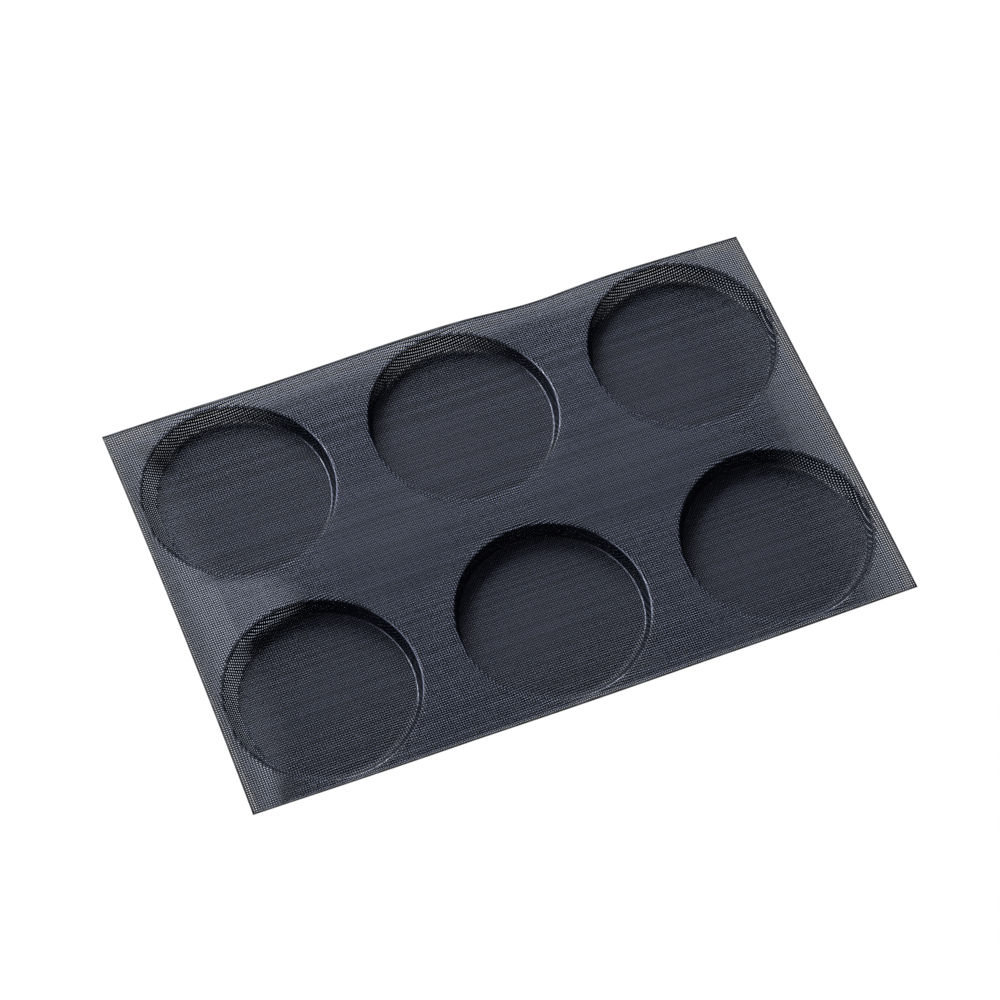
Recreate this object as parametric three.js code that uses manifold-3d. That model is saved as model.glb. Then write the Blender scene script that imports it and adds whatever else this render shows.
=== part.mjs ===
// A flexible baking mould: one sheet of woven glass mesh, coated with silicone on both faces and pressed into
// shallow round cups. Millimetres, +Z up. The origin is under the sheet's centre, on the surface that the cup
// floors stand on.
import * as THREE from "three";
import { mergeVertices } from "three/addons/utils/BufferGeometryUtils.js";
import Module from "manifold-3d";

const wasm = await Module();
wasm.setup();

// Driving dimensions
const CUP_COLUMNS = 3; // cups along X
const CUP_ROWS = 2; // cups along Y
const CUP_MOUTH_DIAMETER = 100; // where wall and web would meet with no bend, on the food side
const CUP_DEPTH = 9.2; // from the web's food side down to the floor's food side
const WALL_LEAN = 2.15; // how far a wall comes in between its mouth and its floor
const COLUMN_LANE = 25; // web between neighbouring mouths along X
const ROW_LANE = 23.5; // web between neighbouring mouths along Y
const END_MARGIN = 5; // sheet beyond the last mouth along X
const SIDE_MARGIN = 3.75; // sheet beyond the last mouth along Y
const UPPER_COAT = 0.2; // silicone on the food side
const MESH_CORE = 0.36; // woven glass cloth
const LOWER_COAT = 0.2; // silicone on the tray side
const BOND_LINE = 0.02; // between the cloth and each coat
const RIM_BEND = 0.6; // inside radius of the bend from web to wall, on the tray side
const CREASE_BEND = 0.6; // inside radius of the bend from wall to floor, on the food side
const EDGE_SEAL_WIDTH = 1; // silicone over the cut ends of the yarns
const WALL_OPENINGS = 12; // round a cup's wall, a coarse stand-in for the gaps of the open weave
const WALL_OPENING_WIDTH = 4; // round the cup
const WALL_OPENING_HEIGHT = 4; // up the wall, between its bends
const WEB_OPENINGS = 12; // each way over the sheet, kept where there is web for them
const WEB_OPENING_SIDE = 4; // of a square opening
const OPENING_CLEARANCE = 1.5; // from an opening in the web to a rim or to the edge seal
const CUP_SIDES = 32; // flats round a cup
const BEND_STEPS = 1; // flats round a bend

// Layers, each from and to a depth under the food side
const SHEET = UPPER_COAT + BOND_LINE + MESH_CORE + BOND_LINE + LOWER_COAT;
const UPPER_LAYER = { from: 0, to: UPPER_COAT };
const CORE_LAYER = { from: UPPER_COAT + BOND_LINE, to: UPPER_COAT + BOND_LINE + MESH_CORE };
const LOWER_LAYER = { from: SHEET - LOWER_COAT, to: SHEET };
const WHOLE_SHEET = { from: 0, to: SHEET };

// Sizes that follow from the driving ones
const WEB_TOP = SHEET + CUP_DEPTH;
const MOUTH_RADIUS = CUP_MOUTH_DIAMETER / 2;
const COLUMN_PITCH = CUP_MOUTH_DIAMETER + COLUMN_LANE;
const ROW_PITCH = CUP_MOUTH_DIAMETER + ROW_LANE;
const HALF_LENGTH = ((CUP_COLUMNS - 1) * COLUMN_PITCH) / 2 + MOUTH_RADIUS + END_MARGIN;
const HALF_WIDTH = ((CUP_ROWS - 1) * ROW_PITCH) / 2 + MOUTH_RADIUS + SIDE_MARGIN;
const WALL_ANGLE = Math.atan2(CUP_DEPTH, WALL_LEAN);
const BEND_REACH = Math.tan(WALL_ANGLE / 2); // tangent length of a bend of radius 1
const RIM_RADIUS = RIM_BEND + SHEET; // on the food side
const WEB_HOLE_RADIUS = MOUTH_RADIUS + RIM_RADIUS * BEND_REACH;
const FLAT_FLOOR_RADIUS = MOUTH_RADIUS - WALL_LEAN - CREASE_BEND * BEND_REACH;

// Finishes
const silicone = new THREE.MeshStandardMaterial({ color: 0x3c404c, roughness: 0.55, metalness: 0 });
const sealSilicone = new THREE.MeshStandardMaterial({ color: 0x24262e, roughness: 0.6, metalness: 0 });
const glassCloth = new THREE.MeshStandardMaterial({ color: 0xc9ccc6, roughness: 0.8, metalness: 0 });

// Numbered as they are read: back row first, each row from left to right
const cups = [];
for (let row = 0; row < CUP_ROWS; row++) {
  for (let column = 0; column < CUP_COLUMNS; column++) {
    cups.push({
      name: `cup_${cups.length + 1}`,
      x: (column - (CUP_COLUMNS - 1) / 2) * COLUMN_PITCH,
      y: ((CUP_ROWS - 1) / 2 - row) * ROW_PITCH,
    });
  }
}

function rectangle(left, front, right, back) {
  return new THREE.Shape([
    new THREE.Vector2(left, front),
    new THREE.Vector2(right, front),
    new THREE.Vector2(right, back),
    new THREE.Vector2(left, back),
  ]);
}

// The middles of the web's openings: a plain grid over the sheet, less those that would meet a rim or the seal
function webOpenings() {
  const places = [];
  const half = WEB_OPENING_SIDE / 2;
  const rimReach = WEB_HOLE_RADIUS + half * Math.SQRT2 + OPENING_CLEARANCE;
  const edgeReach = EDGE_SEAL_WIDTH + half + OPENING_CLEARANCE;
  for (let column = 0; column < WEB_OPENINGS; column++) {
    for (let row = 0; row < WEB_OPENINGS; row++) {
      const x = ((column + 0.5) * 2 / WEB_OPENINGS - 1) * HALF_LENGTH;
      const y = ((row + 0.5) * 2 / WEB_OPENINGS - 1) * HALF_WIDTH;
      const offRims = cups.every((cup) => Math.hypot(x - cup.x, y - cup.y) > rimReach);
      const offEdge = Math.abs(x) < HALF_LENGTH - edgeReach && Math.abs(y) < HALF_WIDTH - edgeReach;
      if (offRims && offEdge) {
        places.push({ x, y });
      }
    }
  }
  return places;
}

// The web inside the edge seal. The corners of each hole are those of the turned cup that joins it.
function webShape() {
  const right = HALF_LENGTH - EDGE_SEAL_WIDTH;
  const back = HALF_WIDTH - EDGE_SEAL_WIDTH;
  const shape = rectangle(-right, -back, right, back);
  for (const cup of cups) {
    const corners = [];
    for (let side = 0; side < CUP_SIDES; side++) {
      const turn = (side / CUP_SIDES) * Math.PI * 2;
      const x = cup.x + WEB_HOLE_RADIUS * Math.sin(turn);
      const y = cup.y - WEB_HOLE_RADIUS * Math.cos(turn);
      corners.push(new THREE.Vector2(x, y));
    }
    shape.holes.push(new THREE.Path(corners));
  }
  return shape;
}

// A flat part of one layer, at the level of the web
function flatLayer(shape, layer) {
  const options = { depth: layer.to - layer.from, bevelEnabled: false };
  return new THREE.ExtrudeGeometry(shape, options).translate(0, 0, WEB_TOP - layer.to);
}

function arc(x, z, radius, start, sweep) {
  const points = [];
  for (let step = 0; step <= BEND_STEPS; step++) {
    const angle = start + (sweep * step) / BEND_STEPS;
    points.push(new THREE.Vector2(x + radius * Math.cos(angle), z + radius * Math.sin(angle)));
  }
  return points;
}

// The section of a wall from the flat floor to the flat web, along the face at a depth under the food side
function wallLine(depth) {
  const straightDown = -Math.PI / 2;
  const rimStart = Math.PI / 2 + WALL_ANGLE;
  return [
    ...arc(FLAT_FLOOR_RADIUS, SHEET + CREASE_BEND, CREASE_BEND + depth, straightDown, WALL_ANGLE),
    ...arc(WEB_HOLE_RADIUS, WEB_TOP - RIM_RADIUS, RIM_RADIUS - depth, rimStart, -WALL_ANGLE),
  ];
}

function turned(outline) {
  return new THREE.LatheGeometry(outline, CUP_SIDES).rotateX(Math.PI / 2);
}

// A cup's wall and floor in one layer, closed on the axis
function cupLayer(layer) {
  return turned([
    new THREE.Vector2(0, SHEET - layer.to),
    ...wallLine(layer.to),
    ...wallLine(layer.from).reverse(),
    new THREE.Vector2(0, SHEET - layer.from),
  ]);
}

// A cup's wall alone in one layer, a closed ring
function wallLayer(layer) {
  const outline = [...wallLine(layer.to), ...wallLine(layer.from).reverse()];
  return turned([...outline, outline[0].clone()]);
}

// A cup's flat floor alone in one layer
function floorLayer(layer) {
  return turned([
    new THREE.Vector2(0, SHEET - layer.to),
    new THREE.Vector2(FLAT_FLOOR_RADIUS, SHEET - layer.to),
    new THREE.Vector2(FLAT_FLOOR_RADIUS, SHEET - layer.from),
    new THREE.Vector2(0, SHEET - layer.from),
  ]);
}

function solidOf(geometry) {
  const bare = geometry.clone().deleteAttribute("normal").deleteAttribute("uv");
  const merged = mergeVertices(bare);
  return new wasm.Manifold(
    new wasm.Mesh({
      numProp: 3,
      vertProperties: merged.getAttribute("position").array,
      triVerts: new Uint32Array(merged.index.array),
    }),
  );
}

function geometryOf(solid) {
  const { vertProperties, triVerts } = solid.getMesh();
  const geometry = new THREE.BufferGeometry();
  geometry.setAttribute("position", new THREE.BufferAttribute(vertProperties, 3));
  geometry.setIndex(new THREE.BufferAttribute(triVerts, 1));
  geometry.computeVertexNormals();
  return geometry;
}

// Blocks that cut the openings round one cup, on the cup's own axis
function wallCutters() {
  const inner = MOUTH_RADIUS - WALL_LEAN - 3 * SHEET;
  const outer = MOUTH_RADIUS + 2 * SHEET;
  const middle = SHEET + CUP_DEPTH / 2;
  const cutters = [];
  for (let opening = 0; opening < WALL_OPENINGS; opening++) {
    const block = new THREE.BoxGeometry(outer - inner, WALL_OPENING_WIDTH, WALL_OPENING_HEIGHT);
    block.translate((inner + outer) / 2, 0, middle);
    block.rotateZ(((opening + 0.5) / WALL_OPENINGS) * Math.PI * 2);
    cutters.push(solidOf(block));
  }
  return wasm.Manifold.union(cutters);
}

function openedWall(geometry) {
  return geometryOf(solidOf(geometry).subtract(wallCutters()));
}

// Blocks that cut the openings of the web
function webCutters() {
  const blocks = webOpenings().map(({ x, y }) => {
    const block = new THREE.BoxGeometry(WEB_OPENING_SIDE, WEB_OPENING_SIDE, 2 * SHEET);
    return solidOf(block.translate(x, y, WEB_TOP - SHEET / 2));
  });
  return wasm.Manifold.union(blocks);
}

function openedWeb(geometry) {
  return geometryOf(solidOf(geometry).subtract(webCutters()));
}

function named(name, geometry, material) {
  const mesh = new THREE.Mesh(geometry, material);
  mesh.name = name;
  return mesh;
}

// The filled bowl under one face of the cloth, from a cup's floor up to a level
function bowl(depth, level) {
  return turned([
    new THREE.Vector2(0, SHEET - depth),
    ...wallLine(depth),
    new THREE.Vector2(WEB_HOLE_RADIUS, level),
    new THREE.Vector2(0, level),
  ]);
}

// The cloth runs unbroken through the web and every cup: a flat cloth with bowls pressed into it
function meshCore() {
  const middle = WEB_TOP - (CORE_LAYER.from + CORE_LAYER.to) / 2;
  const right = HALF_LENGTH - EDGE_SEAL_WIDTH;
  const back = HALF_WIDTH - EDGE_SEAL_WIDTH;
  let cloth = solidOf(flatLayer(rectangle(-right, -back, right, back), CORE_LAYER));
  for (const cup of cups) {
    const pressedOut = solidOf(bowl(CORE_LAYER.to, middle).translate(cup.x, cup.y, 0));
    const pressedIn = solidOf(bowl(CORE_LAYER.from, WEB_TOP).translate(cup.x, cup.y, 0));
    cloth = cloth.add(pressedOut).subtract(pressedIn).subtract(wallCutters().translate([cup.x, cup.y, 0]));
  }
  cloth = cloth.subtract(webCutters());
  return named("mesh_core", geometryOf(cloth), glassCloth);
}

function webCoats() {
  const group = new THREE.Group();
  group.add(named("web_upper_coat", openedWeb(flatLayer(webShape(), UPPER_LAYER)), silicone));
  group.add(named("web_lower_coat", openedWeb(flatLayer(webShape(), LOWER_LAYER)), silicone));
  return group;
}

function cupCoats(cup) {
  const group = new THREE.Group();
  group.position.set(cup.x, cup.y, 0);
  group.add(named(`${cup.name}_upper_coat`, openedWall(cupLayer(UPPER_LAYER)), silicone));
  group.add(named(`${cup.name}_wall_lower_coat`, openedWall(wallLayer(LOWER_LAYER)), silicone));
  group.add(named(`${cup.name}_floor_lower_coat`, floorLayer(LOWER_LAYER), silicone));
  return group;
}

// Strips over the cut edges: the long ones run the whole length and the short ones lie between them
function edgeSeal() {
  const right = HALF_LENGTH - EDGE_SEAL_WIDTH;
  const back = HALF_WIDTH - EDGE_SEAL_WIDTH;
  const strips = {
    edge_seal_front: rectangle(-HALF_LENGTH, -HALF_WIDTH, HALF_LENGTH, -back),
    edge_seal_back: rectangle(-HALF_LENGTH, back, HALF_LENGTH, HALF_WIDTH),
    edge_seal_left: rectangle(-HALF_LENGTH, -back, -right, back),
    edge_seal_right: rectangle(right, -back, HALF_LENGTH, back),
  };
  const group = new THREE.Group();
  for (const [name, shape] of Object.entries(strips)) {
    group.add(named(name, flatLayer(shape, WHOLE_SHEET), sealSilicone));
  }
  return group;
}

const mould = new THREE.Group();
mould.name = "baking_mould";
mould.add(meshCore());
mould.add(webCoats());
for (const cup of cups) {
  mould.add(cupCoats(cup));
}
mould.add(edgeSeal());

export default mould;
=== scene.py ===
"""A six-cup baking mould of silicone-coated glass mesh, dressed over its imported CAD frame.

Every length is in metres, in the frame of the CAD model: the cups stand on z = 0, the long side runs
along x and the back row of cups lies at +y. The sheet is made flat, as a real open weave of crossing
yarns, and is then pressed into its cups as the real sheet is.
"""

import logging
import math
from dataclasses import dataclass
from enum import Enum
from typing import Any, Callable

import bmesh
import bpy
import numpy as np
from mathutils import Matrix, Vector


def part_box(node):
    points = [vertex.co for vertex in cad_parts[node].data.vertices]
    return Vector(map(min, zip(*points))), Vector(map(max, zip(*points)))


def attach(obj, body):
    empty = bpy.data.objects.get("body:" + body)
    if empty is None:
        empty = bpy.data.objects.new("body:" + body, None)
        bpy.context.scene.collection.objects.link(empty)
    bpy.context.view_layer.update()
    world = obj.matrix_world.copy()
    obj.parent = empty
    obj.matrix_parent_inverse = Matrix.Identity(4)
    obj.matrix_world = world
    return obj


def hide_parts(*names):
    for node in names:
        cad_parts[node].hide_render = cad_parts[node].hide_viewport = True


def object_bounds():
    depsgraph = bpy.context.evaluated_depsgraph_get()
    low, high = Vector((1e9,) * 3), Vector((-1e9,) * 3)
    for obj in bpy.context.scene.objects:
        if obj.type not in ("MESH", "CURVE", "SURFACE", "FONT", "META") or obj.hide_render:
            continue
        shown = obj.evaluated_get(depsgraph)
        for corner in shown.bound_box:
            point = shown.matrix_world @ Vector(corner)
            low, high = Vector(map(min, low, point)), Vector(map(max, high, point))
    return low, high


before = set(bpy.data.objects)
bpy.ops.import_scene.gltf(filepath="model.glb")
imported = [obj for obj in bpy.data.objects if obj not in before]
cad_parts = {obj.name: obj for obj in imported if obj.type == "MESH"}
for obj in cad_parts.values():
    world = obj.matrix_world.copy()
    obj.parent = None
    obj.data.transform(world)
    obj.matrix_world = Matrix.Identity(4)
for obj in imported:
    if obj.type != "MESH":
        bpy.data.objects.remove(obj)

CAD_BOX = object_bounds()
BODY = "root"
MM = 0.001
CUP_NUMBERS = range(1, 7)

# Names of what a mesh carries for its material: BEND marks a painted highlight along the bends, and DRAWN
# marks thinner yarns of a darker colour, which is painted shade on the walls and floors
YARN_COUNTS = "weave"
CROWN = "crown"
BEND = "bend"
DRAWN = "drawn"

Colour = tuple[float, float, float, float]
Span = tuple[float, float]
log = logging.getLogger("baking_mould")


class Side(Enum):
    """The four cut edges of the sheet, by the names of their CAD nodes."""

    FRONT = "edge_seal_front"
    BACK = "edge_seal_back"
    LEFT = "edge_seal_left"
    RIGHT = "edge_seal_right"


class Signal:
    """A socket of a shader graph that arithmetic can be written on."""

    def __init__(self, graph: "Graph", socket: bpy.types.NodeSocket) -> None:
        """Keep the graph and the socket that carries the value."""
        self.graph = graph
        self.socket = socket

    def _math(self, operation: str, first: Any, second: Any) -> "Signal":
        """Add one Math node for an operation on two values."""
        return self.graph.node("ShaderNodeMath", {"operation": operation}, {0: first, 1: second})

    def __add__(self, other: Any) -> "Signal":
        """Return this value plus another."""
        return self._math("ADD", self, other)

    def __radd__(self, other: Any) -> "Signal":
        """Return another value plus this one."""
        return self._math("ADD", other, self)

    def __sub__(self, other: Any) -> "Signal":
        """Return this value less another."""
        return self._math("SUBTRACT", self, other)

    def __rsub__(self, other: Any) -> "Signal":
        """Return another value less this one."""
        return self._math("SUBTRACT", other, self)

    def __mul__(self, other: Any) -> "Signal":
        """Return this value times another."""
        return self._math("MULTIPLY", self, other)

    def __rmul__(self, other: Any) -> "Signal":
        """Return another value times this one."""
        return self._math("MULTIPLY", other, self)

    def whole(self) -> "Signal":
        """Return the nearest whole number."""
        return self._math("ROUND", self, 0.0)

    def cosine(self) -> "Signal":
        """Return the cosine of this value, taken as radians."""
        return self._math("COSINE", self, 0.0)

    def larger(self, other: Any) -> "Signal":
        """Return the larger of this value and another."""
        return self._math("MAXIMUM", self, other)

    def step(self, low: float, high: float) -> "Signal":
        """Return this value taken smoothly from low..high to 0..1.

        Args:
            low: The value that becomes 0.
            high: The value that becomes 1.

        Returns:
            The stepped value.
        """
        inputs = {"Value": self, "From Min": low, "From Max": high}
        return self.graph.node("ShaderNodeMapRange", {"interpolation_type": "SMOOTHSTEP"}, inputs)


class Graph:
    """The node tree of one material or world."""

    # A Mix node's colour sockets share their names with its number sockets, so they go by number
    MIX_FACTOR, MIX_FIRST, MIX_SECOND, MIX_RESULT = 0, 6, 7, 2

    def __init__(self, tree: bpy.types.NodeTree) -> None:
        """Empty a node tree and keep it."""
        self.tree = tree
        tree.nodes.clear()

    def node(
        self, kind: str, settings: dict | None = None, inputs: dict | None = None, out: Any = 0
    ) -> Signal | None:
        """Add one node.

        Args:
            kind: The node's type.
            settings: The node's own settings, which are set first.
            inputs: A value or a Signal for each input, by name or number.
            out: The output to return, by name or number.

        Returns:
            The chosen output, or nothing where the node has none.
        """
        made = self.tree.nodes.new(kind)
        for key, value in (settings or {}).items():
            setattr(made, key, value)
        for key, value in (inputs or {}).items():
            if isinstance(value, Signal):
                self.tree.links.new(value.socket, made.inputs[key])
            else:
                made.inputs[key].default_value = value
        return Signal(self, made.outputs[out]) if made.outputs else None

    def place(self) -> Signal:
        """Return the point of the surface on the piece's own axes."""
        return self.node("ShaderNodeTexCoord", out="Object")

    def plane(self, point: Signal) -> tuple[Signal, ...]:
        """Return a point's x and y."""
        return tuple(self.node("ShaderNodeSeparateXYZ", None, {0: point}, axis) for axis in "XY")

    def noise(self, scale: float, detail: float = 3.0) -> Signal:
        """Return a noise over the surface.

        Args:
            scale: The noise's cells in a metre.
            detail: How many finer layers it has.

        Returns:
            The noise, from 0 to 1.
        """
        inputs = {"Vector": self.place(), "Scale": scale, "Detail": detail}
        return self.node("ShaderNodeTexNoise", None, inputs, "Fac")

    def blend(self, factor: Any, first: Any, second: Any) -> Signal:
        """Return a mix of two colours.

        Args:
            factor: 0 for the first colour, 1 for the second.
            first: A colour.
            second: A colour.

        Returns:
            The mixed colour.
        """
        inputs = {self.MIX_FACTOR: factor, self.MIX_FIRST: first, self.MIX_SECOND: second}
        return self.node("ShaderNodeMix", {"data_type": "RGBA"}, inputs, self.MIX_RESULT)

    def surface(self, inputs: dict) -> None:
        """Make the material's surface of one principled shader with these inputs."""
        made = self.node("ShaderNodeBsdfPrincipled", None, inputs)
        self.node("ShaderNodeOutputMaterial", None, {"Surface": made})


def new_material(name: str) -> tuple[bpy.types.Material, Graph]:
    """Return a new material and its empty graph."""
    made = bpy.data.materials.new(name)
    made.use_nodes = True
    return made, Graph(made.node_tree)


@dataclass(frozen=True)
class SiliconeCoat:
    """Slate-blue silicone on woven glass: crests pale partly with its own tone and partly with painted
    glints, painted shade in the hollows, on the walls and on the floors, and glossy bends with a painted
    highlight.
    """

    name: str = "silicone_coat"
    # The near black between the crests is painted shade. The crests' pale is partly the coat's own tone and
    # partly painted glints, dimmer on the crosswise crests because the lamps light them less
    hollow_shade: Colour = (0.002, 0.003, 0.008, 1.0)
    crest: Colour = (0.535, 0.608, 0.910, 1.0)
    bloom: Colour = (0.650, 0.705, 0.900, 1.0)
    bloom_share: float = 0.12
    bloom_span: Span = (0.45, 0.8)
    blotch_scale: float = 45.0
    crosswise_glint_share: float = 0.8
    tone_spread: float = 0.45
    crest_edge: float = 0.64
    # Share of the crests' pale left where the yarns are drawn, as painted shade on the walls and floors
    shaded_crest_share: float = 0.2
    least_roughness: float = 0.30
    roughness_spread: float = 0.12
    weave_depth: float = 0.08 * MM
    refraction: float = 1.42
    sheen: float = 0.2
    # Paleness of the painted highlight along the bends that face the lamps
    bend_highlight_share: float = 0.85
    gloss_roughness: float = 0.18
    gloss_refraction: float = 1.9

    def crests(self, along: Signal, across: Signal) -> tuple[Signal, Signal]:
        """Find how near the surface is to the crest of a yarn that passes over the crossing yarn.

        Args:
            along: The place along the sheet, counted in yarns.
            across: The place across the sheet, counted in yarns.

        Returns:
            The nearness to a lengthwise crest and to a crosswise crest, each from 0 to 1.
        """
        over = (math.pi * along).cosine() * (math.pi * across).cosine()
        lengthwise = (0.5 + 0.5 * (math.tau * across).cosine()) * (0.5 + 0.5 * over)
        crosswise = (0.5 + 0.5 * (math.tau * along).cosine()) * (0.5 - 0.5 * over)
        return lengthwise, crosswise

    def yarn_tone(self, count: Signal) -> Signal:
        """Return how pale each row of yarns is, from its number in the weave."""
        chance = count.graph.node(
            "ShaderNodeTexWhiteNoise", {"noise_dimensions": "1D"}, {"W": count.whole()}, "Value"
        )
        return 1.0 - self.tone_spread * chance

    def material(self) -> bpy.types.Material:
        """Return the coat's material, which reads the mesh's count of yarns and how the sheet is pressed."""
        made, graph = new_material(self.name)
        along, across = graph.plane(graph.node("ShaderNodeUVMap", {"uv_map": YARN_COUNTS}))
        bend, drawn = (
            graph.node("ShaderNodeAttribute", {"attribute_name": name}, out="Fac") for name in (BEND, DRAWN)
        )
        lengthwise, crosswise = self.crests(along, across)
        blotch = graph.noise(self.blotch_scale)
        # Painted glints on the crests, with painted shade between them
        over = lengthwise.step(self.crest_edge, 1.0)
        under = crosswise.step(self.crest_edge, 1.0) * self.crosswise_glint_share
        # Darker where drawn: painted shade on the walls, on the floors and near the back walls, and darker
        # towards the sheet's ends
        woven = over.larger(under) * self.yarn_tone(across) * (1.0 - (1.0 - self.shaded_crest_share) * drawn)
        # A painted highlight along the bends that face the lamps, where the coat's gloss is real
        ridge = bend * bend
        pale = woven.larger(ridge * ridge * ridge * self.bend_highlight_share)
        yarn = graph.blend(pale, self.hollow_shade, self.crest)
        dusty = blotch.step(*self.bloom_span) * pale * self.bloom_share
        round_yarn = {"Height": lengthwise.larger(crosswise), "Strength": 1.0, "Distance": self.weave_depth}
        graph.surface({
            "Base Color": graph.blend(dusty, yarn, self.bloom),
            "Roughness": self.least_roughness + self.roughness_spread * blotch,
            "IOR": self.refraction,
            "Specular IOR Level": self.sheen,
            "Coat Weight": ridge,
            "Coat Roughness": self.gloss_roughness,
            "Coat IOR": self.gloss_refraction,
            "Normal": graph.node("ShaderNodeBump", None, round_yarn),
        })
        return made


@dataclass(frozen=True)
class SealSilicone:
    """The darker bead of silicone that closes the sheet's cut edges."""

    name: str = "edge_seal"
    deep: Colour = (0.018, 0.020, 0.030, 1.0)
    rubbed: Colour = (0.085, 0.093, 0.125, 1.0)
    rubbed_span: Span = (0.4, 0.75)
    blotch_scale: float = 160.0
    grain_scale: float = 4000.0
    grain_detail: float = 2.0
    grain_strength: float = 0.3
    grain_depth: float = 0.03 * MM
    least_roughness: float = 0.35
    roughness_spread: float = 0.25
    refraction: float = 1.42

    def material(self) -> bpy.types.Material:
        """Return the bead's material."""
        made, graph = new_material(self.name)
        blotch = graph.noise(self.blotch_scale)
        grain = {
            "Height": graph.noise(self.grain_scale, self.grain_detail),
            "Strength": self.grain_strength,
            "Distance": self.grain_depth,
        }
        graph.surface({
            "Base Color": graph.blend(blotch.step(*self.rubbed_span), self.deep, self.rubbed),
            "Roughness": self.least_roughness + self.roughness_spread * blotch,
            "IOR": self.refraction,
            "Normal": graph.node("ShaderNodeBump", None, grain),
        })
        return made


def mesh_of(bm: bmesh.types.BMesh, name: str) -> bpy.types.Mesh:
    """Return a bmesh as a new mesh, and free the bmesh."""
    made = bpy.data.meshes.new(name)
    bm.to_mesh(made)
    bm.free()
    return made


def object_of(data: bpy.types.ID) -> bpy.types.Object:
    """Return a new object in the scene for a mesh, a light or a camera, under the same name."""
    made = bpy.data.objects.new(data.name, data)
    bpy.context.scene.collection.objects.link(made)
    return made


def points_of(mesh: bpy.types.Mesh) -> np.ndarray:
    """Return a mesh's points, one in a row."""
    made = np.empty(len(mesh.vertices) * 3)
    mesh.vertices.foreach_get("co", made)
    return made.reshape(-1, 3)


def smooth_step(value: np.ndarray, low: float, high: float) -> np.ndarray:
    """Return values taken smoothly from low..high to 0..1."""
    share = np.clip((value - low) / (high - low), 0.0, 1.0)
    return share * share * (3.0 - 2.0 * share)


@dataclass(frozen=True)
class CupProfile:
    """One side of a cup in section, along the middle of the sheet, from the floor out to the web."""

    rim_radius: float
    floor_middle: float
    web_middle: float
    wall_lean: float
    rim_bend: float
    crease_bend: float
    inner_reach: float
    outer_reach: float
    bend_steps: int = 24
    sharp_bend: float = 1.0 * MM

    def section(self) -> dict[str, np.ndarray]:
        """Return the section's points: radius, height, tilt, sharpness of bend and length from the floor."""
        depth = self.web_middle - self.floor_middle
        angle = math.atan2(depth, self.wall_lean)
        turn = np.linspace(0.0, angle, self.bend_steps)
        back = turn[::-1]
        arch = np.sin(math.pi * turn / angle) * self.sharp_bend
        floor_radius = (
            self.rim_radius - self.wall_lean - (self.rim_bend + self.crease_bend) * math.tan(angle / 2)
        )
        radius = np.concatenate([
            [self.inner_reach],
            floor_radius + self.crease_bend * np.sin(turn),
            self.rim_radius - self.rim_bend * np.sin(back),
            [self.outer_reach],
        ])
        height = np.concatenate([
            [self.floor_middle],
            self.floor_middle + self.crease_bend * (1.0 - np.cos(turn)),
            self.web_middle - self.rim_bend * (1.0 - np.cos(back)),
            [self.web_middle],
        ])
        tilt = np.concatenate([[0.0], turn, back, [0.0]])
        steps = np.hypot(np.diff(radius), np.diff(height))
        return {
            "radius": radius,
            "height": height,
            "tilt": tilt,
            "bend": np.concatenate([[0.0], arch / self.crease_bend, arch / self.rim_bend, [0.0]]),
            "length": np.concatenate([[0.0], np.cumsum(steps)]),
        }

    def drawn(self, reach: np.ndarray, evenness: np.ndarray) -> dict[str, np.ndarray]:
        """Draw the flat sheet down along the section.

        Args:
            reach: Each point's distance from the cup's middle on the flat sheet.
            evenness: 0 where only the steep wall is stretched, 1 where the stretch is even.

        Returns:
            Each point's radius, height, tilt and sharpness of bend on the section.
        """
        section = self.section()
        length = section.pop("length")
        straight_down = np.interp(reach, section["radius"], length)
        share = (reach - self.inner_reach) / (self.outer_reach - self.inner_reach)
        even = np.clip(share, 0.0, 1.0) * length[-1]
        along = straight_down + (even - straight_down) * evenness
        made = {name: np.interp(along, length, values) for name, values in section.items()}
        flat = (reach < self.inner_reach) | (reach > self.outer_reach)
        made["radius"] = np.where(flat, reach, made["radius"])
        return made


@dataclass(frozen=True)
class PressedPoints:
    """Points of the sheet once it is pressed, one in a row.

    Each has its place on the middle of the sheet, the sheet's normal and tilt there, how sharply the sheet
    bends there where the bend carries a painted highlight, from 0 where it is straight or faces away, and
    how much painted shade a back wall casts there, from 0 to 1.
    """

    middle: np.ndarray
    normal: np.ndarray
    tilt: np.ndarray
    bend: np.ndarray
    back_wall_shade: np.ndarray


@dataclass(frozen=True)
class FreeEdge:
    """How far one free edge of the sheet lies outwards of its line, at its two ends and its middle."""

    axis: int
    way: int
    start: float
    middle: float
    end: float

    def shift(self, share: np.ndarray) -> np.ndarray:
        """Return how far out the edge lies at places along it, from -1 at its start to 1 at its end."""
        start = self.start * share * (share - 1.0) / 2
        end = self.end * share * (share + 1.0) / 2
        return start + self.middle * (1.0 - share * share) + end


@dataclass(frozen=True)
class Droop:
    """A place along the back edge where the soft web hangs lower."""

    along: float
    reach_along: float
    reach_across: float
    depth: float

    def drop(self, along: np.ndarray, to_edge: np.ndarray) -> np.ndarray:
        """Return how far the web hangs at places along the sheet and away from the back edge."""
        far = ((along - self.along) / self.reach_along) ** 2 + (to_edge / self.reach_across) ** 2
        return self.depth * np.exp(-far)


@dataclass(frozen=True)
class Way:
    """A direction on the sheet, with the span of cosines over which others come to face it."""

    angle: float
    cosines: Span

    def facing(self, outward: np.ndarray) -> np.ndarray:
        """Return how far directions, one in a row, face this way, from 0 to 1."""
        return smooth_step(outward @ np.array([math.cos(self.angle), math.sin(self.angle)]), *self.cosines)


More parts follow.
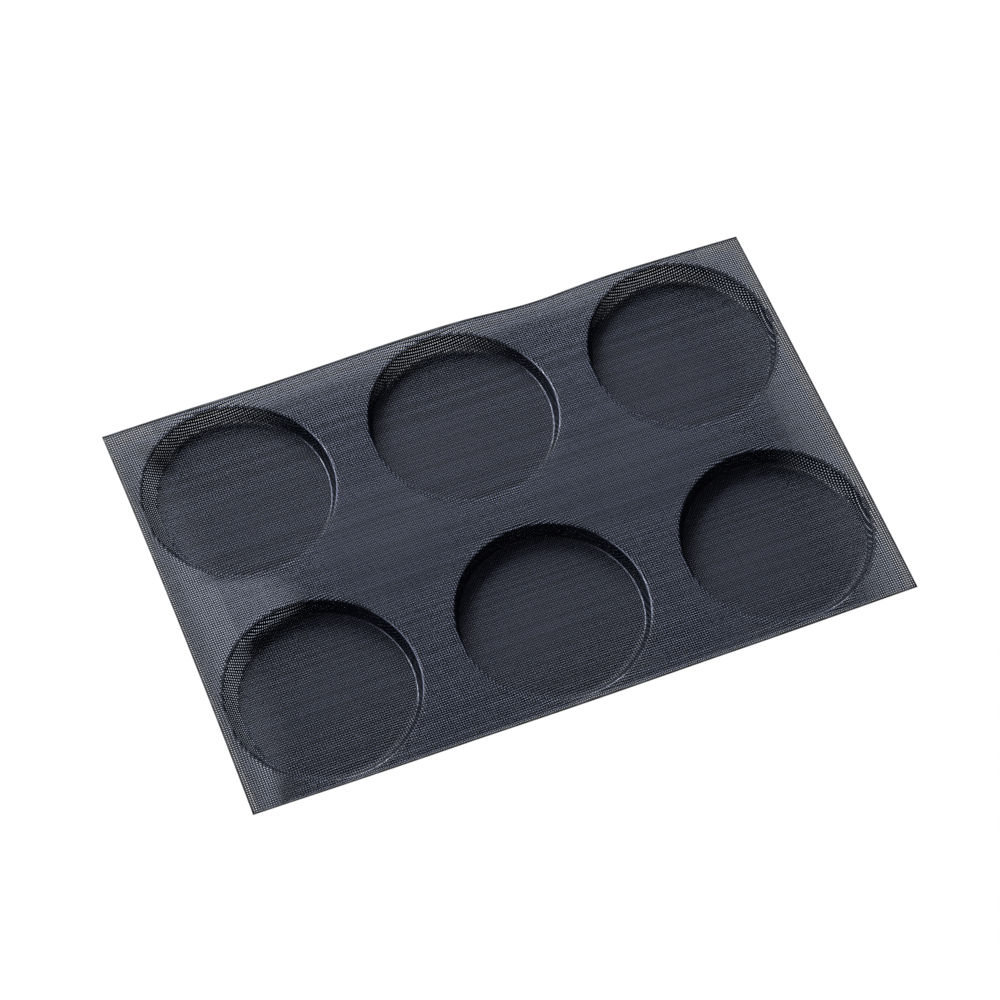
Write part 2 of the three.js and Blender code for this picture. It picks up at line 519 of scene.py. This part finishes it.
@dataclass
class PressedSheet:
    """The shape that the flat sheet is pressed into: a level web with six round cups below it.

    The cups' walls are steep towards the middle of the sheet, slacker towards its edges and loosest at
    its left edge. Their bends on the right and at the front carry a painted highlight, and their floors
    carry painted shade towards the back walls.
    """

    length: float
    width: float
    thickness: float
    web_top: float
    centres: list[Vector]
    rim_radius: float
    firm_lean: float = 2.15 * MM
    firm_bend: float = 1.0 * MM
    slack_lean: float = 4.0 * MM
    slack_bend: float = 4.0 * MM
    loose_lean: float = 8.0 * MM
    loose_bend: float = 2.5 * MM
    inner_reach: float = 40.0 * MM
    collar: float = 2.0 * MM
    least_evenness: float = 0.35
    most_evenness: float = 0.8
    slack_span: Span = (0.35, 0.9)
    slack_way: Way = Way(math.radians(40.0), (0.8, 0.95))
    loose_way: Way = Way(math.radians(162.0), (0.6, 0.92))
    # Painted shade on the floors near the back walls, where their shadow falls
    back_shade_way: Way = Way(math.radians(105.0), (0.0, 0.8))
    back_shade_reach: float = 16.0 * MM
    # A painted highlight on the bends that face the lamps, on the right and at the front of slack walls
    highlight_way: Way = Way(math.radians(2.0), (0.54, 0.92))
    front_highlight_way: Way = Way(math.radians(-85.0), (0.9, 0.98))
    front_highlight: float = 0.9
    least_margin: float = 1e-6
    least_reach: float = 1e-9
    free_edges: tuple[FreeEdge, ...] = (
        FreeEdge(axis=0, way=-1, start=1.6 * MM, middle=0.2 * MM, end=1.0 * MM),
        FreeEdge(axis=0, way=1, start=0.4 * MM, middle=0.35 * MM, end=-0.4 * MM),
        FreeEdge(axis=1, way=-1, start=-1.15 * MM, middle=0.75 * MM, end=0.35 * MM),
        FreeEdge(axis=1, way=1, start=0.9 * MM, middle=2.2 * MM, end=-1.1 * MM),
    )
    droops: tuple[Droop, ...] = (
        Droop(along=60.0 * MM, reach_along=30.0 * MM, reach_across=35.0 * MM, depth=4.5 * MM),
        Droop(along=-85.0 * MM, reach_along=50.0 * MM, reach_across=30.0 * MM, depth=2.0 * MM),
    )

    def __post_init__(self) -> None:
        """Work out the three sections of a cup, and the side of the sheet that each cup lies on."""
        self.outer_reach = self.rim_radius + self.collar
        shared = {
            "rim_radius": self.rim_radius,
            "floor_middle": self.thickness / 2,
            "web_middle": self.web_top - self.thickness / 2,
            "rim_bend": self.firm_bend,
            "inner_reach": self.inner_reach,
            "outer_reach": self.outer_reach,
        }
        self.firm = CupProfile(wall_lean=self.firm_lean, crease_bend=self.firm_bend, **shared)
        self.slack = CupProfile(wall_lean=self.slack_lean, crease_bend=self.slack_bend, **shared)
        self.loose = CupProfile(wall_lean=self.loose_lean, crease_bend=self.loose_bend, **shared)
        self.middles = np.array([[centre.x, centre.y] for centre in self.centres])
        self.cup_sides = np.sign(np.round(self.middles / MM))

    @classmethod
    def from_frame(cls) -> "PressedSheet":
        """Return the sheet with the sizes and places of the CAD nodes."""
        low, high = (Vector(corner) for corner in CAD_BOX)
        seal_low, seal_high = (Vector(corner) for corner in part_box(Side.FRONT.value))
        bowls = [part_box(f"cup_{number}_upper_coat") for number in CUP_NUMBERS]
        first_near, first_far = bowls[0]
        return cls(
            length=high.x - low.x,
            width=high.y - low.y,
            thickness=seal_high.z - seal_low.z,
            web_top=high.z,
            centres=[(Vector(near) + Vector(far)) / 2 for near, far in bowls],
            rim_radius=(first_far[0] - first_near[0]) / 2,
        )

    def reach(self, point: Vector) -> float:
        """Return a flat point's distance from the middle of the nearest cup."""
        return min(math.hypot(point.x - centre.x, point.y - centre.y) for centre in self.centres)

    def slackness(self, outward: np.ndarray, sides: np.ndarray) -> tuple[np.ndarray, np.ndarray]:
        """Find how slack and how loose the walls are.

        Args:
            outward: The directions out of the cups, one in a row.
            sides: The side that each direction's cup lies on, along and across: -1, 0 or 1.

        Returns:
            How slack and how loose the wall is in each direction, from 0 to 1.
        """
        column = sides[:, 0]
        towards = np.maximum(outward * sides, 0.0)
        towards[column > 0.0, 0] = 0.0
        to_edges = smooth_step(np.linalg.norm(towards, axis=1), *self.slack_span)
        slack = np.maximum(to_edges, self.slack_way.facing(outward) * (column > 0.0))
        return slack, self.loose_way.facing(outward) * (column < 0.0)

    def bowed(self, flat: np.ndarray, reach: np.ndarray) -> np.ndarray:
        """Find how far the free margin bows out of line, from nothing at the rims to most at the edges.

        Args:
            flat: The points, one in a row, as x and y on the sheet.
            reach: Each point's distance from the middle of the nearest cup.

        Returns:
            Each point's shift in x and y.
        """
        half = np.array([self.length, self.width]) / 2
        free = np.maximum(reach - self.rim_radius, 0.0)
        shift = np.zeros_like(flat)
        for edge in self.free_edges:
            to_edge = np.maximum(half[edge.axis] - edge.way * flat[:, edge.axis], self.least_margin)
            out = edge.shift(flat[:, 1 - edge.axis] / half[1 - edge.axis])
            shift[:, edge.axis] += edge.way * out * free / (free + to_edge)
        return shift

    def locate(self, flat: np.ndarray) -> PressedPoints:
        """Find where points of the flat sheet lie once it is pressed.

        Args:
            flat: The points, one in a row, as x and y on the sheet.

        Returns:
            The points as they lie on the pressed sheet.
        """
        arms = flat[:, None, :2] - self.middles[None, :, :]
        reaches = np.linalg.norm(arms, axis=2)
        nearest = np.argmin(reaches, axis=1)
        rows = np.arange(len(flat))
        reach = reaches[rows, nearest]
        outward = arms[rows, nearest] / np.maximum(reach, self.least_reach)[:, None]
        sides = self.cup_sides[nearest]
        slack, loose = self.slackness(outward, sides)
        backward = np.maximum(outward[:, 1], 0.0) ** 2
        evenness = self.least_evenness + (self.most_evenness - self.least_evenness) * backward
        made = self.firm.drawn(reach, evenness)
        for profile, weight in ((self.slack, slack), (self.loose, loose)):
            other = profile.drawn(reach, evenness)
            made = {name: made[name] + (other[name] - made[name]) * weight for name in made}
        plan = self.middles[nearest] + outward * made["radius"][:, None] + self.bowed(flat[:, :2], reach)
        tilt = made["tilt"]
        lift = (made["height"] - self.firm.floor_middle) / (self.firm.web_middle - self.firm.floor_middle)
        drop = sum(droop.drop(flat[:, 0], self.width / 2 - flat[:, 1]) for droop in self.droops)
        # The painted highlight's mask on the bends, which also flattens the yarns and glosses the coat there
        highlit = self.highlight_way.facing(outward) * (1.0 - slack) * (sides[:, 0] <= 0.0)
        highlit += self.front_highlight_way.facing(outward) * slack * self.front_highlight
        # Painted shade on the floors near the back walls, which also flattens the yarns there
        near_wall = smooth_step(made["radius"], self.rim_radius - self.back_shade_reach, self.rim_radius)
        return PressedPoints(
            middle=np.column_stack([plan, made["height"] - drop * lift]),
            normal=np.column_stack([-np.sin(tilt)[:, None] * outward, np.cos(tilt)]),
            tilt=tilt,
            bend=made["bend"] * highlit,
            back_wall_shade=near_wall * self.back_shade_way.facing(outward) * (1.0 - lift),
        )

    def press(self, flat: np.ndarray) -> np.ndarray:
        """Press points of the flat sheet into shape.

        Args:
            flat: The points, one in a row: x and y on the sheet, and the height over its middle.

        Returns:
            The same points on the pressed sheet.
        """
        pressed = self.locate(flat)
        return pressed.middle + pressed.normal * flat[:, 2:3]


class Draw(Enum):
    """How pressing leaves a gap of the weave, with the width of the yarns around it."""

    SEATED = 1.00 * MM
    LEVEL = 0.82 * MM
    OPEN = 0.74 * MM
    TAUT = 0.90 * MM
    DRAWN = 0.84 * MM
    LOOSE = 0.78 * MM
    CREASED = 1.02 * MM


@dataclass
class Weave:
    """The open weave: how many gaps it has each way and how its yarns are shaped."""

    sheet: PressedSheet
    columns: int = 288
    rows: int = 184
    edge_inset: float = 0.5 * MM
    crown_height: float = 0.38 * MM
    shoulder_height: float = 0.13 * MM
    most_thinning: float = 0.6
    # Painted shade on the floors, and darker yarns towards the sheet's two ends; both also thin the yarns
    floor_thinning_and_shade: float = 0.45
    floor_span: Span = (0.5, 0.9)
    end_thinning_and_darkening: float = 0.7
    end_reach: float = 40.0 * MM
    end_margin: float = 10.0 * MM
    half_open: float = 0.5
    taut_height: float = 0.65
    web_height: float = 0.5
    wall_span: Span = (math.radians(20.0), math.radians(52.0))
    steep: float = math.radians(40.0)
    upright: float = math.radians(60.0)
    sharp_turn: float = math.radians(35.0)
    finest_turn: float = math.radians(12.0)
    coarsest_turn: float = math.radians(26.0)

    def __post_init__(self) -> None:
        """Work out the corner and the pitch of the weave."""
        self.left = -self.sheet.length / 2 + self.edge_inset
        self.front = -self.sheet.width / 2 + self.edge_inset
        self.pitch_x = (self.sheet.length - 2 * self.edge_inset) / self.columns
        self.pitch_y = (self.sheet.width - 2 * self.edge_inset) / self.rows

    def columns_near(self, x: float, reach: float) -> range:
        """Return the columns of gaps within reach of a place along the sheet."""
        first = int((x - reach - self.left) / self.pitch_x)
        last = int((x + reach - self.left) / self.pitch_x) + 1
        return range(max(first, 0), min(last, self.columns))

    def rows_near(self, y: float, reach: float) -> range:
        """Return the rows of gaps within reach of a place across the sheet."""
        first = int((y - reach - self.front) / self.pitch_y)
        last = int((y + reach - self.front) / self.pitch_y) + 1
        return range(max(first, 0), min(last, self.rows))

    def middle_of(self, point: Vector) -> Vector:
        """Return the middle of the gap that a flat point lies in."""
        column = math.floor((point.x - self.left) / self.pitch_x)
        row = math.floor((point.y - self.front) / self.pitch_y)
        x = self.left + (column + 0.5) * self.pitch_x
        y = self.front + (row + 0.5) * self.pitch_y
        return Vector((x, y, 0.0))

    def openness(self, along: np.ndarray) -> np.ndarray:
        """Return how far the web's weave opens towards the sheet's two ends, from 0 to 1."""
        half = self.sheet.length / 2
        return smooth_step(np.abs(along), half - self.end_reach, half - self.end_margin)

    def drawn_as(self, along: float, height: float, least_tilt: float, most_tilt: float) -> Draw:
        """Tell how pressing leaves one gap.

        Args:
            along: The place of the gap's middle along the sheet.
            height: The height of the gap's middle on the pressed sheet.
            least_tilt: The least tilt at the gap's corners.
            most_tilt: The most tilt at the gap's corners.

        Returns:
            The kind of gap.
        """
        if most_tilt - least_tilt > self.sharp_turn:
            return Draw.CREASED
        if most_tilt > self.upright:
            return Draw.TAUT if height > self.taut_height * self.sheet.web_top else Draw.DRAWN
        if most_tilt > self.steep:
            return Draw.LOOSE
        if height < self.web_height * self.sheet.web_top:
            return Draw.SEATED
        return Draw.OPEN if self.openness(along) > self.half_open else Draw.LEVEL

    def drawn(self, pressed: PressedPoints) -> np.ndarray:
        """Find how far the yarns are thinned and darkened: painted shade on the walls, on the floors and near
        the back walls, and darker towards the sheet's two ends.

        Args:
            pressed: Points of the pressed sheet.

        Returns:
            A value for each point: 0 amid the web, more at its ends and on the floors, 1 on a wall.
        """
        depth = 1.0 - pressed.middle[:, 2] / self.sheet.web_top
        steepness = smooth_step(pressed.tilt, *self.wall_span)
        # Painted shade on the floors, deepest near the back walls
        seated = self.floor_thinning_and_shade + (1.0 - self.floor_thinning_and_shade) * pressed.back_wall_shade
        ends = self.end_thinning_and_darkening * self.openness(pressed.middle[:, 0])
        level = ends + (seated - ends) * smooth_step(depth, *self.floor_span)
        return np.maximum(steepness, level)

    def counts(self, flat: np.ndarray) -> np.ndarray:
        """Return flat points counted in yarns, so that whole numbers lie on the yarns' middles."""
        corner = np.array([self.left, self.front])
        return (flat[:, :2] - corner) / np.array([self.pitch_x, self.pitch_y])


@dataclass
class WovenPanel:
    """One panel of the woven sheet, with the gaps that a test picks from a block of the weave."""

    name: str
    weave: Weave
    columns: range
    rows: range
    belongs: Callable[[Vector], bool]
    stands_for: list[str]
    flat_height: float = 1.0 * MM
    all_crown: float = 0.99

    def cells(self, bm: bmesh.types.BMesh) -> list[bmesh.types.BMFace]:
        """Lay out the panel's gaps as a flat grid and return their faces."""
        weave = self.weave
        span = Vector((len(self.columns) * weave.pitch_x, len(self.rows) * weave.pitch_y))
        middle = Vector((
            weave.left + self.columns.start * weave.pitch_x + span.x / 2,
            weave.front + self.rows.start * weave.pitch_y + span.y / 2,
            0.0,
        ))
        place = Matrix.Translation(middle) @ Matrix.Diagonal((span.x, span.y, 1.0, 1.0))
        bmesh.ops.create_grid(
            bm, x_segments=len(self.columns), y_segments=len(self.rows), size=0.5, matrix=place
        )
        others = [face for face in bm.faces if not self.belongs(weave.middle_of(face.calc_center_median()))]
        bmesh.ops.delete(bm, geom=others, context="FACES")
        return bm.faces[:]

    def drop(self, bm: bmesh.types.BMesh) -> tuple[np.ndarray, np.ndarray]:
        """Return the pressed sheet's height and tilt at each of the bmesh's points."""
        bm.verts.index_update()
        pressed = self.weave.sheet.locate(np.array([vertex.co[:2] for vertex in bm.verts]))
        return pressed.middle[:, 2], pressed.tilt

    def open_gaps(self, bm: bmesh.types.BMesh, cells: list[bmesh.types.BMFace]) -> None:
        """Open a gap in each cell, so that the yarns are left, and mark the yarns' crowns.

        Args:
            bm: The flat grid of the panel.
            cells: The grid's faces, one for each gap.
        """
        crown = bm.verts.layers.float[CROWN]
        crossings = bm.verts[:]
        heights, tilts = self.drop(bm)
        kinds: dict[Draw, list[bmesh.types.BMFace]] = {kind: [] for kind in Draw}
        for cell in cells:
            corners = [vertex.index for vertex in cell.verts]
            along = cell.calc_center_median().x
            tilt = tilts[corners]
            kind = self.weave.drawn_as(along, heights[corners].mean(), tilt.min(), tilt.max())
            kinds[kind].append(cell)
        for kind, faces in kinds.items():
            bmesh.ops.inset_individual(bm, faces=faces, thickness=kind.value / 2, use_even_offset=True)
        bmesh.ops.delete(bm, geom=cells, context="FACES")
        for vertex in bm.verts:
            vertex[crown] = 0.0
        for vertex in crossings:
            vertex[crown] = 1.0

    def refine(self, bm: bmesh.types.BMesh) -> None:
        """Cut the yarns finer where the sheet turns quickly."""
        for most_turn in (self.weave.finest_turn, self.weave.coarsest_turn):
            _, tilts = self.drop(bm)
            turning = [
                edge for edge in bm.edges
                if abs(tilts[edge.verts[0].index] - tilts[edge.verts[1].index]) > most_turn
            ]
            bmesh.ops.subdivide_edges(bm, edges=turning, cuts=1, use_grid_fill=True)

    def thicken(self, bm: bmesh.types.BMesh) -> None:
        """Give the yarns their under sides, with sharp corners where one panel meets the next."""
        crown = bm.verts.layers.float[CROWN]
        raised = bmesh.ops.extrude_face_region(bm, geom=bm.faces[:])
        tops = [part for part in raised["geom"] if isinstance(part, bmesh.types.BMVert)]
        bmesh.ops.translate(bm, verts=tops, vec=(0.0, 0.0, self.flat_height))
        bmesh.ops.recalc_face_normals(bm, faces=bm.faces[:])
        for face in bm.faces:
            face.smooth = True
            if min(vertex[crown] for vertex in face.verts) > self.all_crown:
                for edge in face.edges:
                    edge.smooth = False

    def shape(self, mesh: bpy.types.Mesh) -> None:
        """Round the yarns, note their place in the weave and press the panel.

        Args:
            mesh: The flat panel, with its upper side above z = 0.
        """
        weave = self.weave
        flat = points_of(mesh)
        crown = np.empty(len(mesh.vertices))
        mesh.attributes[CROWN].data.foreach_get("value", crown)
        corners = np.empty(len(mesh.loops), dtype=np.int32)
        mesh.loops.foreach_get("vertex_index", corners)
        mesh.uv_layers.new(name=YARN_COUNTS).data.foreach_set("uv", weave.counts(flat)[corners].ravel())
        above = np.where(flat[:, 2] > self.flat_height / 2, 1.0, -1.0)
        pressed = weave.sheet.locate(flat)
        drawn = weave.drawn(pressed)
        # The coat reads a painted highlight's mask on the bends and a painted shade where the yarns are drawn
        for name, values in ((BEND, pressed.bend), (DRAWN, drawn)):
            mesh.attributes.new(name, "FLOAT", "POINT").data.foreach_set("value", values)
        swell = weave.shoulder_height + (weave.crown_height - weave.shoulder_height) * crown
        offset = above * swell * (1.0 - weave.most_thinning * np.maximum(drawn, pressed.bend))
        mesh.vertices.foreach_set("co", (pressed.middle + pressed.normal * offset[:, None]).ravel())
        mesh.update()

    def build(self) -> bpy.types.Object:
        """Return the panel's object, pressed into shape."""
        bm = bmesh.new()
        bm.verts.layers.float.new(CROWN)
        self.open_gaps(bm, self.cells(bm))
        self.refine(bm)
        self.thicken(bm)
        mesh = mesh_of(bm, self.name)
        self.shape(mesh)
        return object_of(mesh)

    def dress(self, panel: bpy.types.Object, coat: bpy.types.Material) -> None:
        """Give the panel its coat and its place in the frame."""
        panel.data.materials.append(coat)
        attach(panel, BODY)
        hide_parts(*self.stands_for)


@dataclass
class WovenSheet:
    """The whole woven sheet: each cup's floor and wall, and three panels of the web around them."""

    weave: Weave
    web_panels: tuple[str, ...] = ("left", "middle", "right")

    def panels(self) -> list[WovenPanel]:
        """Return the panels, each with the CAD nodes that it stands for."""
        weave = self.weave
        sheet = weave.sheet
        made = []
        for number, centre in zip(CUP_NUMBERS, sheet.centres):
            made.append(WovenPanel(
                name=f"mesh_floor_{number}",
                weave=weave,
                columns=weave.columns_near(centre.x, sheet.inner_reach),
                rows=weave.rows_near(centre.y, sheet.inner_reach),
                belongs=lambda point: sheet.reach(point) < sheet.inner_reach,
                stands_for=[f"cup_{number}_floor_lower_coat"],
            ))
            made.append(WovenPanel(
                name=f"mesh_wall_{number}",
                weave=weave,
                columns=weave.columns_near(centre.x, sheet.outer_reach),
                rows=weave.rows_near(centre.y, sheet.outer_reach),
                belongs=lambda point: sheet.inner_reach <= sheet.reach(point) < sheet.outer_reach,
                stands_for=[f"cup_{number}_upper_coat", f"cup_{number}_wall_lower_coat"],
            ))
        share = weave.columns // len(self.web_panels)
        for order, name in enumerate(self.web_panels):
            made.append(WovenPanel(
                name=f"mesh_web_{name}",
                weave=weave,
                columns=range(order * share, (order + 1) * share),
                rows=range(weave.rows),
                belongs=lambda point: sheet.reach(point) >= sheet.outer_reach,
                stands_for=["web_upper_coat", "web_lower_coat", "mesh_core"],
            ))
        return made


@dataclass
class EdgeBead:
    """The bead of silicone along one cut edge."""

    side: Side
    sheet: PressedSheet
    steps: int = 72
    round_over: float = 0.22 * MM
    round_steps: int = 3

    @staticmethod
    def runs(bm: bmesh.types.BMesh, length: float) -> list[bmesh.types.BMEdge]:
        """Return the edges that run along a bar of this length."""
        return [edge for edge in bm.edges if edge.calc_length() > length / 2]

    def build(self) -> bpy.types.Object:
        """Return the bead's object: a long bar with rounded edges, pressed with the sheet."""
        low, high = (Vector(corner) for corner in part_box(self.side.value))
        size = high - low
        middle = (low + high) / 2
        middle.z = 0.0
        bm = bmesh.new()
        bmesh.ops.create_cube(bm, size=1.0, matrix=Matrix.Translation(middle) @ Matrix.Diagonal(size.to_4d()))
        length = max(size)
        bmesh.ops.bevel(
            bm, geom=self.runs(bm, length), offset=self.round_over, offset_type="OFFSET", affect="EDGES",
            segments=self.round_steps, profile=0.5, material=-1,
        )
        bmesh.ops.subdivide_edges(bm, edges=self.runs(bm, length), cuts=self.steps, use_grid_fill=True)
        mesh = mesh_of(bm, self.side.value.replace("edge_seal", "edge_bead"))
        mesh.vertices.foreach_set("co", self.sheet.press(points_of(mesh)).ravel())
        mesh.polygons.foreach_set("use_smooth", np.ones(len(mesh.polygons), dtype=bool))
        mesh.update()
        return object_of(mesh)

    def dress(self, bead: bpy.types.Object, seal: bpy.types.Material) -> None:
        """Give the bead its silicone and its place in the frame."""
        bead.data.materials.append(seal)
        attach(bead, BODY)
        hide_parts(self.side.value)


@dataclass
class Lamp:
    """A square soft box that is aimed at the mould."""

    name: str
    azimuth: float
    elevation: float
    distance: float
    size: float
    power: float

    def build(self, aim: Vector) -> None:
        """Hang the lamp and aim it.

        Args:
            aim: The point that the lamp faces.
        """
        light = bpy.data.lights.new(self.name, "AREA")
        light.size = self.size
        light.energy = self.power
        lamp = object_of(light)
        turn, rise = math.radians(self.azimuth), math.radians(self.elevation)
        arm = Vector((math.cos(turn) * math.cos(rise), math.sin(turn) * math.cos(rise), math.sin(rise)))
        lamp.location = aim + arm * self.distance
        lamp.rotation_euler = arm.to_track_quat("Z", "Y").to_euler()


@dataclass
class Studio:
    """The white table, the soft light and the camera of the photograph."""

    sheet: PressedSheet
    table_size: float = 6.0
    table_white: Colour = (0.77, 0.79, 0.83, 1.0)
    backdrop_white: Colour = (1.0, 1.0, 1.0, 1.0)
    # Painted blue light under the sheet, seen through its mesh
    under_white: Colour = (0.79, 0.85, 1.0, 1.0)
    backdrop_share: float = 0.96
    backdrop_strength: float = 1.04
    # Spans of the distance in from an edge of the sheet, from no glow to full glow or from bare to covered.
    # The glow under the sheet is painted light seen through its mesh, reaching further in between the cups,
    # with painted shade near the left edge and at the corners, and a painted blue tint where it is covered.
    outside_left: Span = (3.8 * MM, 2.5 * MM)
    under_left: Span = (36.0 * MM, 14.0 * MM)
    under_right: Span = (36.0 * MM, 0.0)
    under_front: Span = (6.5 * MM, 5.0 * MM)
    under_back: Span = (8.0 * MM, 0.0)
    cover_left: Span = (2.5 * MM, 5.0 * MM)
    cover_far: Span = (0.0, 4.0 * MM)
    edge_shade: Span = (3.0 * MM, 15.0 * MM)
    edge_light: float = 0.4
    between_cups: float = 22.0 * MM
    between_reach: float = 34.0 * MM
    corner_start: float = 75.0 * MM
    corner_shade: float = 1.0
    room_light: Colour = (1.0, 1.0, 1.0, 1.0)
    room_strength: float = 0.08
    camera_azimuth: float = -25.6
    camera_elevation: float = 60.6
    camera_roll: float = 4.15
    camera_distance: float = 1.890
    focal_pixels: float = 3655.0
    axis_pixel: tuple[float, float] = (507.8, 511.3)
    frame_pixels: float = 1000.0
    sensor: float = 36.0
    lamps: tuple[Lamp, ...] = (
        Lamp("key_box", azimuth=95.0, elevation=28.0, distance=1.8, size=0.9, power=42.3),
        Lamp("side_box", azimuth=145.0, elevation=38.0, distance=1.5, size=0.33, power=6.9),
        Lamp("top_box", azimuth=-90.0, elevation=80.0, distance=1.8, size=1.2, power=2.6),
    )

    def table(self) -> None:
        """Lay the white table, which shows pure white around the mould and keeps its shadow faintly there,
        with painted light under the sheet's edges.
        """
        bm = bmesh.new()
        bmesh.ops.create_grid(bm, x_segments=1, y_segments=1, size=self.table_size / 2)
        table = object_of(mesh_of(bm, "table"))
        table.data.materials.append(self.table_material())

    def glow_shares(self, graph: Graph) -> tuple[Signal, Signal]:
        """Find where the table glows for the eye: around the sheet, and under it as painted light seen
        through its mesh.

        Args:
            graph: The graph of the table's material.

        Returns:
            How far the table glows and how far the sheet covers it, each from 0 to 1.
        """
        along, across = graph.plane(graph.place())
        half_length = self.sheet.length / 2
        half_width = self.sheet.width / 2
        from_left = half_length + along
        from_right = half_length - along
        from_front = half_width + across
        from_back = half_width - across
        between = (across * across).step(self.between_cups ** 2, 0.0) * self.between_reach
        corner = (across * across).step(self.corner_start ** 2, half_width ** 2)
        shaded = from_left * (1.0 + self.corner_shade * corner)
        by_edge = self.edge_light + (1.0 - self.edge_light) * from_left.step(*self.edge_shade)
        left = from_left.step(*self.outside_left)
        left = left.larger((shaded - between).step(*self.under_left) * by_edge)
        right = from_right.step(*self.under_right)
        front = from_front.step(*self.under_front)
        back = from_back.step(*self.under_back)
        covered = from_left.step(*self.cover_left) * from_right.step(*self.cover_far)
        covered = covered * from_back.step(*self.cover_far) * (1.0 - front)
        return left.larger(right).larger(front.larger(back)), covered

    def table_material(self) -> bpy.types.Material:
        """Return the table's white, which is lifted for the eye alone, purest around the mould."""
        made, graph = new_material("table_white")
        lit, covered = self.glow_shares(graph)
        path = [
            graph.node("ShaderNodeLightPath", out=ray)
            for ray in ("Is Camera Ray", "Is Glossy Ray", "Is Transmission Ray")
        ]
        seen = path[0].larger(path[1]).larger(path[2])
        lifted = seen * lit * self.backdrop_share
        white = graph.node("ShaderNodeBsdfDiffuse", None, {"Color": self.table_white})
        around, under = (
            graph.node("ShaderNodeEmission", None, {"Color": colour, "Strength": self.backdrop_strength})
            for colour in (self.backdrop_white, self.under_white)
        )
        glow = graph.node("ShaderNodeMixShader", None, {0: covered, 1: around, 2: under})
        surface = graph.node("ShaderNodeMixShader", None, {0: lifted, 1: white, 2: glow})
        graph.node("ShaderNodeOutputMaterial", None, {"Surface": surface})
        return made

    def light(self) -> None:
        """Light the room evenly and hang the lamps."""
        world = bpy.data.worlds.new("room")
        world.use_nodes = True
        graph = Graph(world.node_tree)
        glow_inputs = {"Color": self.room_light, "Strength": self.room_strength}
        glow = graph.node("ShaderNodeBackground", None, glow_inputs)
        graph.node("ShaderNodeOutputWorld", None, {"Surface": glow})
        bpy.context.scene.world = world
        for lamp in self.lamps:
            lamp.build(Vector((0.0, 0.0, self.sheet.web_top)))

    def camera(self) -> None:
        """Set the camera at the photograph's viewing angle."""
        turn = math.radians(self.camera_azimuth)
        rise = math.radians(self.camera_elevation)
        roll = math.radians(self.camera_roll)
        back = Vector((math.sin(turn) * math.cos(rise), -math.cos(turn) * math.cos(rise), math.sin(rise)))
        right = Vector((math.cos(turn), math.sin(turn), 0.0))
        up = back.cross(right)
        rolled_right = math.cos(roll) * right + math.sin(roll) * up
        rolled_up = math.cos(roll) * up - math.sin(roll) * right
        lens = bpy.data.cameras.new("photo_camera")
        lens.sensor_width = self.sensor
        lens.lens = self.sensor * self.focal_pixels / self.frame_pixels
        lens.shift_x = 0.5 - self.axis_pixel[0] / self.frame_pixels
        lens.shift_y = self.axis_pixel[1] / self.frame_pixels - 0.5
        camera = object_of(lens)
        place = Vector((0.0, 0.0, self.sheet.web_top)) + back * self.camera_distance
        axes = Matrix((rolled_right, rolled_up, back)).transposed()
        camera.matrix_world = Matrix.Translation(place) @ axes.to_4x4()
        bpy.context.scene.camera = camera

    def build(self) -> None:
        """Set up the table, the light and the camera."""
        self.table()
        self.light()
        self.camera()
        bpy.context.scene.view_settings.view_transform = "Standard"


def main() -> None:
    """Build the mould, dress it and set it in the studio."""
    logging.basicConfig(level=logging.INFO, format="%(name)s: %(message)s")
    sheet = PressedSheet.from_frame()
    coat = SiliconeCoat().material()
    seal = SealSilicone().material()
    for panel in WovenSheet(Weave(sheet)).panels():
        made = panel.build()
        panel.dress(made, coat)
        log.info("%s has %d faces", made.name, len(made.data.polygons))
    for side in Side:
        bead = EdgeBead(side, sheet)
        made = bead.build()
        bead.dress(made, seal)
        log.info("%s has %d faces", made.name, len(made.data.polygons))
    Studio(sheet).build()


if __name__ == "__main__":
    main()
